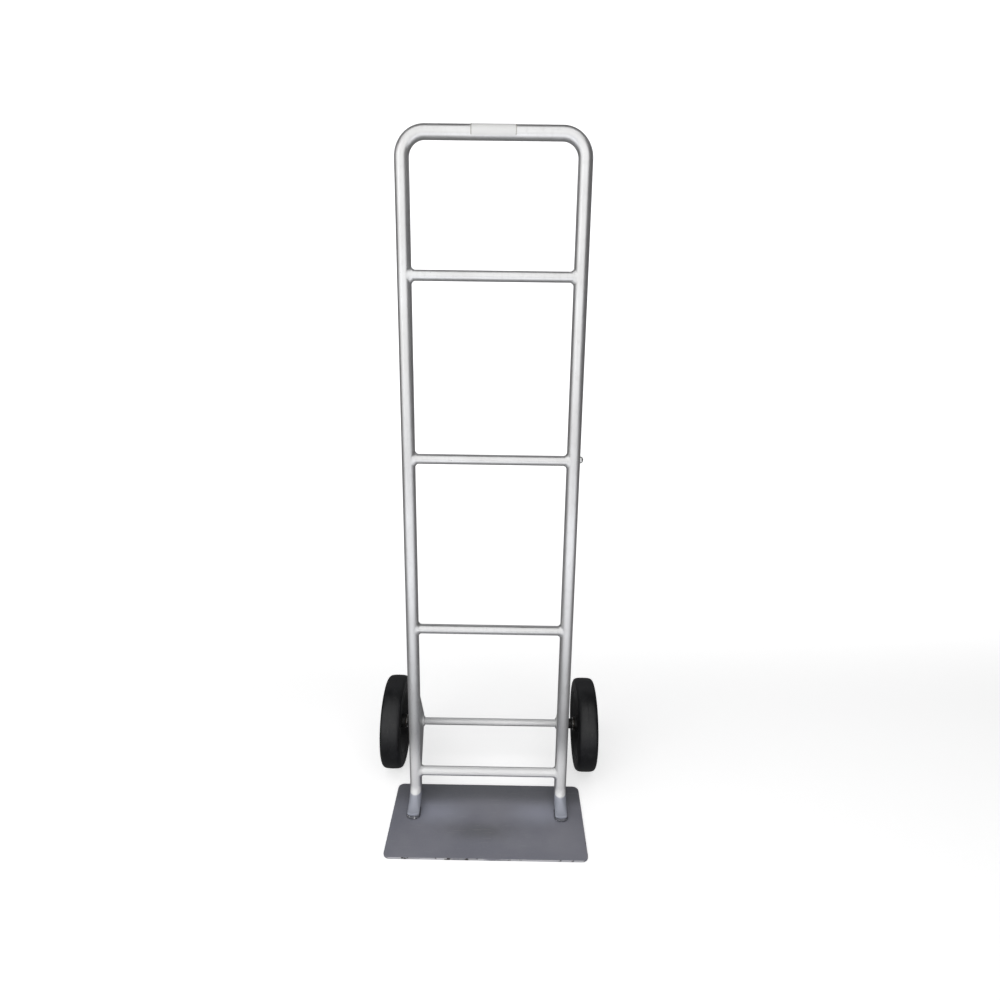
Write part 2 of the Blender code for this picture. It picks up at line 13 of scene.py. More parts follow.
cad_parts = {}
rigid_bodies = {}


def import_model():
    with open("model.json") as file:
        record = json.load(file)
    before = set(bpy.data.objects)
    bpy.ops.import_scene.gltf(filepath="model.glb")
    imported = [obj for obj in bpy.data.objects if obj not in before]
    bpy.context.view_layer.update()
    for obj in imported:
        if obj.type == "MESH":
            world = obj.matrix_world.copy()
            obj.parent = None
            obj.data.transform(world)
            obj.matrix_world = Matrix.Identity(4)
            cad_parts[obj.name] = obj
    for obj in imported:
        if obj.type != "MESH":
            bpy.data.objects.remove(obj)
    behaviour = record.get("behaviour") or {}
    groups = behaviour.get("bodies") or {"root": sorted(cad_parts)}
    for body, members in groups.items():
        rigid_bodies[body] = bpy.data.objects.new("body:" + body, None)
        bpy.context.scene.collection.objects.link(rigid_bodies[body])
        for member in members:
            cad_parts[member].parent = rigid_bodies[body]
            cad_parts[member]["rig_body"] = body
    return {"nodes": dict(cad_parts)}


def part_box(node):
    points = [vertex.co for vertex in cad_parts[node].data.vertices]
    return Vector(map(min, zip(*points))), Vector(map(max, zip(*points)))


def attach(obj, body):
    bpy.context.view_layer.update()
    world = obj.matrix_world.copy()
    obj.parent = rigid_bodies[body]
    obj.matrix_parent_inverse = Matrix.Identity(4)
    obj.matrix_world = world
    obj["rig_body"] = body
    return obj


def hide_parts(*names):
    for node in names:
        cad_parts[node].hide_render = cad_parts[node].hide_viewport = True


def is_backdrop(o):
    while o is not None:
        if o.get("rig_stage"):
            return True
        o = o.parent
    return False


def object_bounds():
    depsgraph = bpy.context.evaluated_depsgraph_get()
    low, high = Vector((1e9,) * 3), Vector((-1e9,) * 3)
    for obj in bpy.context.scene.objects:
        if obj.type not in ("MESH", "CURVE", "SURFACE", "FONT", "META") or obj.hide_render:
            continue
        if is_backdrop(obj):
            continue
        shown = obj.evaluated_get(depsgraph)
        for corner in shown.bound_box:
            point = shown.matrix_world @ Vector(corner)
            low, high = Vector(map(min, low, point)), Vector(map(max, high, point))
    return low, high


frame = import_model()
cad_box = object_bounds()
SIDES = {"left": -1, "right": 1}


def middle(node):
    low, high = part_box(node)
    return (low + high) / 2


def spans(node):
    low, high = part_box(node)
    return high - low


# The frame's dimensions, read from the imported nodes
TUBE_R = spans("foot_plug_left").x / 2
STRINGER_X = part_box("frame_tube")[1].x - TUBE_R
STRINGER_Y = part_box("frame_tube")[1].y - TUBE_R
BOW_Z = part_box("frame_tube")[1].z - TUBE_R
FOOT_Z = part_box("frame_tube")[0].z + TUBE_R
FOOT_END_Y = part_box("frame_tube")[0].y
FOOT_TIP_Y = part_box("foot_plug_left")[0].y
RUNG_NAMES = ("bottom", "lower", "middle", "top")
RUNG_R = spans("rung_top").z / 2
AXLE = middle("axle")
AXLE_R = spans("axle").z / 2
AXLE_HALF_LENGTH = spans("axle").x / 2
PLATE_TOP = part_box("toe_plate")[1].z
BRACKET_BOSS_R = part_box("axle_bracket_left")[1].y - AXLE.y

# Dimensions that the nodes' boxes don't give
PLATE_CORNER_R = 0.013
BOW_BEND_R = 0.039
FOOT_BEND_R = 0.030
PRESS_LENGTH = 0.036
PRESSED_HEIGHT = 0.42
BRACKET_HEEL_Y = 0.050
BRACKET_TOP_WIDTH = 0.010
RIM_THICKNESS = 0.0016
RIM_SLOPE = 1.1
HUB_WALL = 0.0044
BORE_PLAY = 0.0004
EDGE_R = 0.0004
BEAD_INSET = 0.0008

# Half of a tyre's outline, from the middle of its tread: (radius, distance out along X)
TYRE_SECTION = [
    (0.1016, 0.0000), (0.1013, 0.0075), (0.1008, 0.0130), (0.0998, 0.0168), (0.0978, 0.0198),
    (0.0950, 0.0215), (0.0920, 0.0220), (0.0884, 0.0219), (0.0872, 0.0209), (0.0860, 0.0206),
    (0.0850, 0.0213), (0.0836, 0.0214), (0.0826, 0.0206), (0.0792, 0.0203), (0.0777, 0.0205),
    (0.0764, 0.0215), (0.0732, 0.0216), (0.0716, 0.0207), (0.0693, 0.0182), (0.0545, 0.0021),
]

# The direction, forward and up, of the painted highlight low on the frame: sides that face it are painted
# lighter and duller
PAINTED_LIGHT_FROM = (0.0, -0.72, 0.69)

# Fineness
TUBE_SIDES = 64
WHEEL_SIDES = 192
SMALL_SIDES = 48
WIRE_SIDES = 16
RUN_STEP = 0.006
BEAD_STEP = 0.0008
BEND_STEPS = 20
MERGE = 0.000001
TIP_R = 4 * MERGE
OVERLAP = 0.0002
SKIN_DEPTH = 0.00015


# ---- Shapes ----


def skin(rings, closed=False, caps=False):
    """Joins equal rings of points with faces; the last ring may meet the first, or both ends be filled."""
    size = len(rings[0])
    points = [point for ring in rings for point in ring]
    faces = []
    for row in range(len(rings) if closed else len(rings) - 1):
        here = row * size
        there = (row + 1) % len(rings) * size
        for column in range(size):
            after = (column + 1) % size
            faces.append((here + column, here + after, there + after, there + column))
    if caps:
        faces.append(tuple(range(size)))
        faces.append(tuple(range(len(points) - size, len(points))))
    return points, faces


def make_mesh(name, shape, sharp_angle=radians(40)):
    """A mesh from points and faces: doubles merged, faces turned out, smooth but for sharp edges."""
    mesh = bpy.data.meshes.new(name)
    mesh.from_pydata(shape[0], [], shape[1])
    work = bmesh.new()
    work.from_mesh(mesh)
    bmesh.ops.remove_doubles(work, verts=work.verts, dist=MERGE)
    bmesh.ops.dissolve_degenerate(work, edges=work.edges, dist=MERGE)
    bmesh.ops.recalc_face_normals(work, faces=work.faces)
    work.to_mesh(mesh)
    work.free()
    mesh.shade_smooth()
    mesh.set_sharp_from_angle(angle=sharp_angle)
    return mesh


def show(node, shape, material, sharp_angle=radians(40)):
    """Shows a finer piece in place of one CAD node, on the node's own body."""
    piece = bpy.data.objects.new(f"{node}_look", make_mesh(f"{node}_look", shape, sharp_angle))
    bpy.context.scene.collection.objects.link(piece)
    piece.data.materials.append(material)
    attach(piece, frame["nodes"][node]["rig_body"])
    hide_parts(node)
    return piece


def fillet(before, corner, after, radius, steps=BEND_STEPS):
    """Points of the arc that rounds one corner of a path."""
    to_before = (before - corner).normalized()
    to_after = (after - corner).normalized()
    half_angle = to_before.angle(to_after) / 2
    centre = corner + (to_before + to_after).normalized() * radius / sin(half_angle)
    spoke = corner + to_before * radius / tan(half_angle) - centre
    turn = Matrix.Rotation((pi - 2 * half_angle) / steps, 3, to_after.cross(to_before))
    points = []
    for _ in range(steps + 1):
        points.append(centre + spoke)
        spoke = turn @ spoke
    return points


def with_runs(path, step):
    """A path with its long straight runs divided."""
    divided = [path[0]]
    for start, end in zip(path, path[1:]):
        count = max(1, round((end - start).length / step))
        for index in range(1, count + 1):
            divided.append(start.lerp(end, index / count))
    return divided


def rounded_path(corners, radii, step=RUN_STEP):
    """An open path: straight runs joined by arcs, in short steps."""
    corners = [Vector(corner) for corner in corners]
    path = [corners[0]]
    for index, radius in enumerate(radii):
        path += fillet(*corners[index:index + 3], radius)
    return with_runs(path + [corners[-1]], step)


def circle(radius, sides):
    points = []
    for step in range(sides):
        angle = 2 * pi * step / sides
        points.append(Vector((radius * cos(angle), radius * sin(angle))))
    return points


def carried(path):
    """Each point of a path with two directions square to it, carried along with no twist."""
    across = None
    for index, point in enumerate(path):
        ahead = (path[min(index + 1, len(path) - 1)] - path[max(index - 1, 0)]).normalized()
        across = ahead.orthogonal() if across is None else across - ahead * across.dot(ahead)
        across.normalize()
        yield point, across, ahead.cross(across)


def sweep(path, section, relief=None):
    """Rings of a flat section carried along a path; relief says how far a point stands out."""
    rings = []
    for point, across, up in carried(path):
        ring = []
        for x, y in section:
            offset = across * x + up * y
            if relief:
                offset += offset.normalized() * relief(point + offset)
            ring.append(point + offset)
        rings.append(ring)
    return rings


def revolve(section, centre, sides=WHEEL_SIDES, sign=1):
    """Turns a closed section of (radius, distance out along X) points about the line along X at a centre."""
    rings = []
    for step in range(sides):
        angle = 2 * pi * step / sides
        out = Vector((0, cos(angle), sin(angle)))
        rings.append([centre + out * radius + Vector((sign * along, 0, 0)) for radius, along in section])
    return skin(rings, closed=True)


def soften(section, radius, steps=4):
    """Rounds the corners of a closed section, but for those on the axis."""
    section = [Vector(corner) for corner in section]
    softened = []
    for index, corner in enumerate(section):
        if corner.x < MERGE:
            softened.append(corner)
            continue
        to_before = section[index - 1] - corner
        to_after = section[(index + 1) % len(section)] - corner
        reach = min(radius, to_before.length * 0.45, to_after.length * 0.45)
        start = corner + to_before.normalized() * reach
        end = corner + to_after.normalized() * reach
        for step in range(steps + 1):
            share = step / steps
            softened.append(start.lerp(corner, share).lerp(corner.lerp(end, share), share))
    return softened


def rounded_edges(first, last, edge, steps):
    """How far a flat piece is drawn in at each level from its first face to its last one."""
    inward = 1 if last > first else -1
    near = []
    for step in range(steps + 1):
        angle = pi / 2 * step / steps
        near.append((edge * (1 - sin(angle)), first + inward * edge * (1 - cos(angle))))
    return near + [(inset, first + last - level) for inset, level in reversed(near)]


def mirrored(section):
    return [(radius, -along) for radius, along in section]


def waviness(point, scale, height):
    """A smooth random rise and fall of a surface, the same each run."""
    return height * noise.noise(point * scale)


# ---- The tube frame ----


def paint_run(point, places):
    """How far a few runs of paint stand out: each is a drop at the foot of a thin tail."""
    rise = 0
    farthest = 0.03
    for place, width in places:
        gap = point - place
        if gap.length > farthest:
            continue
        length = width if gap.z < 0 else 4 * width
        rise += width * 0.28 * max(0, 1 - (gap.x / width) ** 2 - (gap.z / length) ** 2)
    return rise


def pressed(point):
    """A foot's end is pressed down towards its tip, so that it lies on the plate like a tongue."""
    amount = min(1, max(0, (FOOT_TIP_Y + PRESS_LENGTH - point.y) / PRESS_LENGTH))
    amount *= amount * (3 - 2 * amount)
    height = (point.z - PLATE_TOP) / (2 * TUBE_R)
    flattened = PRESSED_HEIGHT * (1 - (1 - min(1, height)) ** 2.5)
    return Vector((point.x, point.y, PLATE_TOP + 2 * TUBE_R * (height + (flattened - height) * amount)))


def make_frame_tube(paint):
    """The bow, the stringers and the feet, bent from one tube, with dents and runs in the paint."""
    corners = [
        (-STRINGER_X, FOOT_END_Y, FOOT_Z),
        (-STRINGER_X, STRINGER_Y, FOOT_Z),
        (-STRINGER_X, STRINGER_Y, BOW_Z),
        (STRINGER_X, STRINGER_Y, BOW_Z),
        (STRINGER_X, STRINGER_Y, FOOT_Z),
        (STRINGER_X, FOOT_END_Y, FOOT_Z),
    ]
    path = rounded_path(corners, (FOOT_BEND_R, BOW_BEND_R, BOW_BEND_R, FOOT_BEND_R))
    front = STRINGER_Y - TUBE_R
    runs = [
        (Vector((-STRINGER_X - TUBE_R / 5, front, 0.292)), 0.0022),
        (Vector((STRINGER_X + TUBE_R / 5, front, 0.290)), 0.0024),
        (Vector((STRINGER_X - TUBE_R / 3, front, 1.178)), 0.0016),
    ]

    def relief(point):
        return waviness(point, 55, 0.00003) + waviness(point, 14, 0.00010) + paint_run(point, runs)

    rings = []
    for ring in sweep(path, circle(TUBE_R - SKIN_DEPTH, TUBE_SIDES), relief):
        low_down = ring[0].z < FOOT_Z + FOOT_BEND_R
        rings.append([pressed(point) for point in ring] if low_down else ring)
    show("frame_tube", skin(rings), paint)


def make_foot_plug(side, sign, paint):
    """The rounded end of a foot, pressed down as the tube is."""
    node = f"foot_plug_{side}"
    height = FOOT_END_Y - FOOT_TIP_Y
    rings = []
    steps = 12
    for step in range(steps + 1):
        angle = pi / 2 * step / steps
        radius = max((TUBE_R - SKIN_DEPTH) * cos(angle) ** 0.7, TIP_R)
        centre = Vector((sign * STRINGER_X, FOOT_END_Y - height * sin(angle), FOOT_Z))
        rings.append([pressed(centre + Vector((x, 0, z))) for x, z in circle(radius, TUBE_SIDES)])
    show(node, skin(rings, caps=True), paint)


def make_rung(name, paint):
    """A rung whose ends follow the round of the stringers."""
    node = f"rung_{name}"
    height = middle(node).z
    rings = []
    steps = 40
    for step in range(steps + 1):
        share = 2 * step / steps - 1
        ring = []
        for y, z in circle(RUNG_R, SMALL_SIDES):
            end = STRINGER_X - sqrt(TUBE_R ** 2 - y ** 2) + OVERLAP
            point = Vector((share * end, STRINGER_Y + y, height + z))
            rise = 1 + waviness(point, 45, 0.00003) / RUNG_R
            ring.append(Vector((point.x, STRINGER_Y + y * rise, height + z * rise)))
        rings.append(ring)
    show(node, skin(rings), paint)


def make_rung_weld(name, side, sign, paint):
    """The fillet that runs round the saddle where a rung meets a stringer, in small ripples."""
    node = f"weld_rung_{name}_{side}"
    height = middle(f"rung_{name}").z
    rings = []
    steps = 144
    across_steps = 8
    for step in range(steps):
        angle = 2 * pi * step / steps
        ripple = noise.noise(Vector((cos(angle) * 2, sin(angle) * 2, height * 37 + sign * 5)))
        leg = 0.0047 * (1 + 0.10 * ripple + 0.03 * sin(26 * angle + 2 * ripple))
        wrap = asin(RUNG_R * sin(angle) / TUBE_R)
        toe_wrap = wrap + leg * sin(angle) / TUBE_R
        tube_r = TUBE_R + OVERLAP / 2
        root = Vector((tube_r * cos(wrap), RUNG_R * sin(angle), RUNG_R * cos(angle)))
        toe_z = (RUNG_R + leg) * cos(angle)
        tube_toe = Vector((tube_r * cos(toe_wrap), tube_r * sin(toe_wrap), toe_z))
        rung_toe = root + Vector((leg, 0, 0))
        rung_toe.yz *= 1 + OVERLAP / RUNG_R / 2
        belly = root.lerp((tube_toe + rung_toe) / 2, 0.62)
        ring = [root * 0.96]
        for index in range(across_steps + 1):
            share = index / across_steps
            ring.append(tube_toe.lerp(belly, share).lerp(belly.lerp(rung_toe, share), share))
        place = []
        for depth, across, up in ring:
            place.append(Vector((sign * (STRINGER_X - depth), STRINGER_Y + across, height + up)))
        rings.append(place)
    show(node, skin(rings, closed=True), paint)


def rounded_rectangle(low, high, radius, steps=12):
    """The corners' arcs of a flat outline; a corner keeps its centre as the outline shrinks."""
    corners = [(high.x, high.y, 0), (low.x, high.y, 1), (low.x, low.y, 2), (high.x, low.y, 3)]
    outline = []
    for x, y, quarter in corners:
        inward = Vector((-1 if quarter in (0, 3) else 1, -1 if quarter in (0, 1) else 1))
        centre = Vector((x, y)) + inward * PLATE_CORNER_R
        for step in range(steps + 1):
            angle = pi / 2 * (quarter + step / steps)
            outline.append(centre + Vector((cos(angle), sin(angle))) * radius)
    return outline


def make_toe_plate(paint):
    """The flat plate with its rounded corners and its worn, rounded edges."""
    low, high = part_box("toe_plate")
    rings = []
    for inset, z in rounded_edges(high.z, low.z, edge=0.0011, steps=6):
        ring = []
        for point in rounded_rectangle(low, high, PLATE_CORNER_R - inset):
            ring.append(Vector((point.x, point.y, z)))
        rings.append(ring)
    show("toe_plate", skin(rings, caps=True), paint)


def bead(path, radius, flat_z=None, seed=0.0):
    """A weld bead: a round cord with overlapping ripples, its underside pressed flat on a plate."""
    ripple_step = 0.0032
    section = circle(1, WIRE_SIDES)
    length = 0
    before = path[0]
    rings = []
    for index, (point, across, up) in enumerate(carried(path)):
        length += (point - before).length
        before = point
        phase = length / ripple_step
        swell = 1 + 0.10 * abs(sin(pi * phase)) + 0.16 * noise.noise(Vector((length * 160, seed, 0)))
        near_end = min(index, len(path) - 1 - index) / 4
        size = radius * swell * min(1, 0.35 + 0.65 * sqrt(min(1, near_end)))
        ring = []
        for x, y in section:
            place = point + (across * x + up * y) * size
            if flat_z is not None:
                place.z = max(place.z, flat_z)
            ring.append(place)
        rings.append(ring)
    return skin(rings, caps=True)


def make_foot_weld(side, sign, paint):
    """The bead on the plate along both sides of a foot and round its tip."""
    spread = TUBE_R * 0.84
    rear_y = STRINGER_Y - FOOT_BEND_R + TUBE_R / 2
    front_y = FOOT_TIP_Y
    corners = [(-spread, rear_y), (-spread, front_y), (spread, front_y), (spread, rear_y)]
    corners = [(sign * STRINGER_X + x, y, PLATE_TOP + 0.0022) for x, y in corners]
    path = rounded_path(corners, (spread * 0.7, spread * 0.7), BEAD_STEP)
    show(f"weld_foot_{side}", bead(path, 0.0032, PLATE_TOP + OVERLAP / 2, seed=sign), paint)


def tangent_angle(point, centre, sense):
    """Where, round the axle boss, the straight edge from a corner touches it."""
    reach = point - centre
    return atan2(reach.y, reach.x) + sense * acos(BRACKET_BOSS_R / reach.length)


def bracket_outline(inset):
    """The bracket's outline in Y and Z, drawn in by an inset."""
    low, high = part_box("axle_bracket_left")
    axle = Vector((AXLE.y, AXLE.z))
    heel = Vector((BRACKET_HEEL_Y, low.z))
    top = Vector((low.y, high.z))
    first = tangent_angle(heel, axle, 1)
    last = tangent_angle(top, axle, -1)
    outline = [Vector((low.y + inset, low.z + inset)), Vector((heel.x - inset, heel.y + inset))]
    steps = 36
    for step in range(steps + 1):
        angle = first + (last - first) * step / steps
        outline.append(axle + Vector((cos(angle), sin(angle))) * (BRACKET_BOSS_R - inset))
    outline.append(Vector((low.y + BRACKET_TOP_WIDTH - inset, high.z - inset)))
    outline.append(Vector((low.y + inset, high.z - inset)))
    return outline


def make_bracket(side, paint):
    """A flat gusset with its cut edges rubbed round."""
    node = f"axle_bracket_{side}"
    low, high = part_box(node)
    rings = []
    for inset, x in rounded_edges(low.x, high.x, edge=0.0006, steps=4):
        rings.append([Vector((x, y, z)) for y, z in bracket_outline(inset)])
    show(node, skin(rings, caps=True), paint)


def bead_x(side, sign):
    """Where the beads on the bracket's inner face have their middle."""
    low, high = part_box(f"axle_bracket_{side}")
    return sign * min(abs(low.x), abs(high.x)) - sign * BEAD_INSET


def make_bracket_welds(side, sign, paint):
    """The upright bead on the stringer and the level bead on the toe plate."""
    x = bead_x(side, sign)
    end_gap = 0.003
    node = f"weld_bracket_tube_{side}"
    low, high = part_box(node)
    rear = STRINGER_Y + TUBE_R
    corners = [Vector((x, rear + BEAD_INSET / 2, z)) for z in (low.z + end_gap, high.z - end_gap)]
    show(node, bead(with_runs(corners, BEAD_STEP), 0.0031, seed=3 + sign), paint)
    node = f"weld_bracket_plate_{side}"
    low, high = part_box(node)
    corners = [Vector((x, y, PLATE_TOP + 0.0010)) for y in (low.y + end_gap, high.y - end_gap)]
    path = with_runs(corners, BEAD_STEP)
    show(node, bead(path, 0.0032, PLATE_TOP + OVERLAP / 2, seed=7 + sign), paint)


def make_axle(paint):
    """The fixed bar with chamfered ends."""
    end = AXLE_HALF_LENGTH
    chamfer = AXLE_R / 6
    half = [(0, end), (AXLE_R - chamfer, end), (AXLE_R, end - chamfer)]
    section = soften(half + mirrored(reversed(half)), EDGE_R)
    rings = []
    for radius, along in with_runs(section, RUN_STEP):
        ring = []
        for y, z in circle(max(radius, TIP_R), SMALL_SIDES):
            ring.append(Vector((along, AXLE.y + y, AXLE.z + z)))
        rings.append(ring)
    show("axle", skin(rings, caps=True), paint)


def make_axle_weld(side, sign, paint):
    """The ring of weld round the axle on the bracket's inner face."""
    x = bead_x(side, sign)
    radius = AXLE_R + 0.0012
    rings = []
    steps = 120
    for step in range(steps):
        angle = 2 * pi * step / steps
        out = Vector((0, cos(angle), sin(angle)))
        size = 0.0030 * (1 + 0.07 * sin(17 * angle) + 0.14 * noise.noise(out * 3 + Vector((sign, 0, 0))))
        ring = []
        for across, along in circle(size, WIRE_SIDES):
            on_axis = Vector((x - sign * along, AXLE.y, AXLE.z))
            ring.append(on_axis + out * (radius + across))
        rings.append(ring)
    show(f"weld_axle_{side}", skin(rings, closed=True), paint)


def make_weld_lump(paint):
    """A round drop of weld on the outer side of the right stringer."""
    low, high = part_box("weld_lump")
    centre = Vector((STRINGER_X + TUBE_R - BEAD_INSET, STRINGER_Y, (low.z + high.z) / 2))
    reach = high.x - centre.x
    radius = (high.z - low.z) / 2
    rings = []
    steps = 12
    for step in range(steps + 1):
        angle = pi / 2 * step / steps
        ring = []
        for y, z in circle(1, SMALL_SIDES):
            size = max(radius * cos(angle), TIP_R)
            lean = 1 + 0.10 * noise.noise(Vector((y * 1.5, z * 1.5, angle)))
            ring.append(centre + Vector((reach * sin(angle) ** 0.8, y * size * lean, z * size * lean)))
        rings.append(ring)
    show("weld_lump", skin(rings, caps=True), paint)


def make_label(material):
    """A plain sticker bent round the front and the top of the bow, with rounded corners."""
    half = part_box("label")[1].x
    first = radians(-30)
    last = radians(85)
    corner = 0.0022
    thickness = 0.00022
    radius = TUBE_R + OVERLAP
    rows = 48
    rings = []
    for row in range(rows + 1):
        share = row / rows
        angle = first + (last - first) * share
        gap = min(share, 1 - share) * (last - first) * radius
        inset = corner - sqrt(max(0, corner ** 2 - (corner - gap) ** 2)) if gap < corner else 0
        out = Vector((0, -cos(angle), sin(angle)))
        base = Vector((0, STRINGER_Y, BOW_Z))
        ring = []
        for x, thick in ((-1, 0), (-1, 1), (-0.5, 1), (0, 1), (0.5, 1), (1, 1), (1, 0), (0, 0)):
            along = Vector((x * (half - inset), 0, 0))
            lift = waviness(Vector((x * 3, share * 4, 0)), 1.7, 0.00005)
            ring.append(base + along + out * (radius + thick * (thickness + lift)))
        rings.append(ring)
    show("label", skin(rings, caps=True), material, radians(30))


# ---- The wheels and the pieces on the axle ----


def make_ring_piece(node, bore_r, material, round_r=EDGE_R):
    """A washer, spacer or sleeve: a pipe along X whose outside is the node's own box."""
    low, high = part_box(node)
    centre = (low + high) / 2
    outer_r = (high.z - low.z) / 2
    half = (high.x - low.x) / 2
    section = [(outer_r, half), (outer_r, -half), (bore_r, -half), (bore_r, half)]
    show(node, revolve(soften(section, round_r), centre, SMALL_SIDES * 2), material)


def make_bush(node, sign, material):
    """A flanged bush; sign is the side its flange faces."""
    low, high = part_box(node)
    flange_r = (high.z - low.z) / 2
    length = high.x - low.x
    centre = Vector(((low.x + high.x) / 2 - sign * length / 2, AXLE.y, AXLE.z))
    body_r = spans("hub_left").z / 2 - HUB_WALL - OVERLAP
    flange = 0.0017
    bore_r = AXLE_R + 0.0001
    section = [
        (flange_r, length), (flange_r, length - flange), (body_r, length - flange),
        (body_r, 0), (bore_r, 0), (bore_r, length),
    ]
    show(node, revolve(soften(section, EDGE_R), centre, SMALL_SIDES * 2, sign), material)


def make_tyre(side, rubber):
    """The solid tyre: crowned tread with a mould seam, round shoulders and ringed sides."""
    node = f"tyre_{side}"
    scale = spans(node).z / 2 / TYRE_SECTION[0][0]
    half = [Vector(point) * scale for point in TYRE_SECTION]
    tread_r = half[0].x
    seam = [(tread_r, 0), (tread_r - 0.00008, 0.00045), (tread_r - 0.00022, 0.0009)]
    upper = [Vector(point) for point in seam] + half[1:]
    lower = [Vector((point.x, -point.y)) for point in reversed(upper[1:])]
    section = soften(upper + lower, 0.0012)
    show(node, revolve(section, middle(node)), rubber, radians(60))


def make_rim(node, sign, paint):
    """A pressed half rim: collar, flat disc and flared edge, with rounded bends."""
    low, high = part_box(node)
    edge_r = (high.z - low.z) / 2
    across = RIM_THICKNESS / sqrt(1 + RIM_SLOPE ** 2)
    bend_r = 0.0030
    disc_low = 0.00015
    disc_high = disc_low + RIM_THICKNESS
    wheel_x = middle(node.replace("rim_outer", "tyre").replace("rim_inner", "tyre")).x
    depth = max(abs(low.x - wheel_x), abs(high.x - wheel_x))
    edge = Vector((edge_r, depth - across))
    edge_outer = Vector((edge_r - RIM_SLOPE * across, depth))
    collar_r = spans("hub_left").z / 2 + OVERLAP
    collar_top = disc_high + 3 * RIM_THICKNESS
    section = [
        (collar_r, disc_low),
        (edge.x - (edge.y - disc_low) / RIM_SLOPE, disc_low),
        edge,
        edge_outer,
        (edge_outer.x - (edge_outer.y - disc_high) / RIM_SLOPE, disc_high),
        (collar_r + 2 * RIM_THICKNESS, disc_high),
        (collar_r + RIM_THICKNESS, disc_high + RIM_THICKNESS),
        (collar_r + RIM_THICKNESS, collar_top),
        (collar_r, collar_top),
    ]
    centre = Vector((wheel_x, AXLE.y, AXLE.z))
    show(node, revolve(soften(section, bend_r, 6), centre, WHEEL_SIDES, sign), paint)


def make_rivet(node, metal):
    """A rivet through both discs with two domed heads."""
    low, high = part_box(node)
    centre = (low + high) / 2
    head_r = (high.z - low.z) / 2
    head_height = 0.0024
    shank_r = 0.003
    grip = (high.x - low.x) / 2 - head_height
    steps = 6
    upper = []
    for step in range(steps + 1):
        angle = pi / 2 * (1 - step / steps)
        upper.append((head_r * cos(angle), grip + head_height * sin(angle)))
    upper.append((shank_r, grip))
    show(node, revolve(upper + mirrored(reversed(upper)), centre, SMALL_SIDES), metal)


def make_cotter_pin(side, metal):
    """A split pin: one half-round wire that goes up through the axle, round an eye and back down."""
    node = f"cotter_pin_{side}"
    low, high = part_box(node)
    x = (low.x + high.x) / 2
    wire = (high.x - low.x) / 4
    eye_r = 0.0035
    eye_z = high.z - 2 * wire - eye_r
    leg_top_z = eye_z - 0.004
    y = AXLE.y
    tail_z = AXLE.z - AXLE_R - 0.0032
    corners = [(x, high.y, tail_z - 0.0035), (x, y + wire, tail_z), (x, y + wire, leg_top_z)]
    path = rounded_path(corners, [0.0030], BEAD_STEP)
    centre = Vector((x, y + 0.0012, eye_z))
    steps = 24
    for step in range(steps + 1):
        angle = radians(-50 + 280 * step / steps)
        path.append(centre + Vector((0, cos(angle), sin(angle))) * eye_r)
    path += with_runs([Vector((x, y - wire, leg_top_z)), Vector((x, y - wire, tail_z - 0.0015))], BEAD_STEP)
    show(node, skin(sweep(path, circle(wire, WIRE_SIDES)), caps=True), metal)


# ---- Materials ----


def start_material(name, metallic=0.0):
    """A new material: its node tree, its shader and the place in metres that its patterns follow."""
    material = bpy.data.materials.new(name)
    material.use_nodes = True
    tree = material.node_tree
    shader = tree.nodes["Principled BSDF"]
    shader.inputs["Metallic"].default_value = metallic
    place = tree.nodes.new("ShaderNodeTexCoord").outputs["Object"]
    return material, tree, shader, place


def add_node(tree, kind, inputs, **settings):
    """Adds a node; each input is a plain value or another node's output."""
    node = tree.nodes.new(kind)
    for name, value in settings.items():
        setattr(node, name, value)
    for key, value in inputs.items():
        if isinstance(value, bpy.types.NodeSocket):
            tree.links.new(value, node.inputs[key])
        else:
            node.inputs[key].default_value = value
    return node


def cloud(tree, place, scale, detail=2.0, stretch=(1, 1, 1), distortion=0.0):
    """Smooth random values about 0.5."""
    if stretch != (1, 1, 1):
        place = add_node(tree, "ShaderNodeMapping", {"Vector": place, "Scale": stretch}).outputs["Vector"]
    values = {"Vector": place, "Scale": scale, "Detail": detail, "Distortion": distortion}
    return add_node(tree, "ShaderNodeTexNoise", values).outputs["Fac"]


def cells(tree, place, scale):
    """Distance to the nearest of many scattered points."""
    return add_node(tree, "ShaderNodeTexVoronoi", {"Vector": place, "Scale": scale}).outputs["Distance"]


def share(tree, value, low, high):
    """0 where a value is at low and 1 where it is at high, smooth in between."""
    values = {"Value": value, "From Min": low, "From Max": high}
    return add_node(tree, "ShaderNodeMapRange", values, interpolation_type="SMOOTHSTEP").outputs["Result"]


def scaled(tree, value, low, high, start=0.0, end=1.0):
    """A value between start and end stretched to the range from low to high."""
    values = {"Value": value, "From Min": start, "From Max": end, "To Min": low, "To Max": high}
    return add_node(tree, "ShaderNodeMapRange", values).outputs["Result"]


def maths(tree, operation, first, second=0.0):
    return add_node(tree, "ShaderNodeMath", {0: first, 1: second}, operation=operation).outputs[0]


def tinted(tree, amount, plain, marked):
    """One colour going over to another."""
    values = {0: amount, 6: plain, 7: marked}
    return add_node(tree, "ShaderNodeMix", values, data_type="RGBA", clamp_factor=False).outputs[2]


def grey(value, warmth=0.0):
    return (value * (1 + warmth), value, value * (1 - warmth), 1)


def raised(tree, height, distance, before=None):
    """A normal bent by a height, over an earlier one."""
    values = {"Height": height, "Strength": 1.0, "Distance": distance}
    if before:
        values["Normal"] = before
    return add_node(tree, "ShaderNodeBump", values).outputs["Normal"]


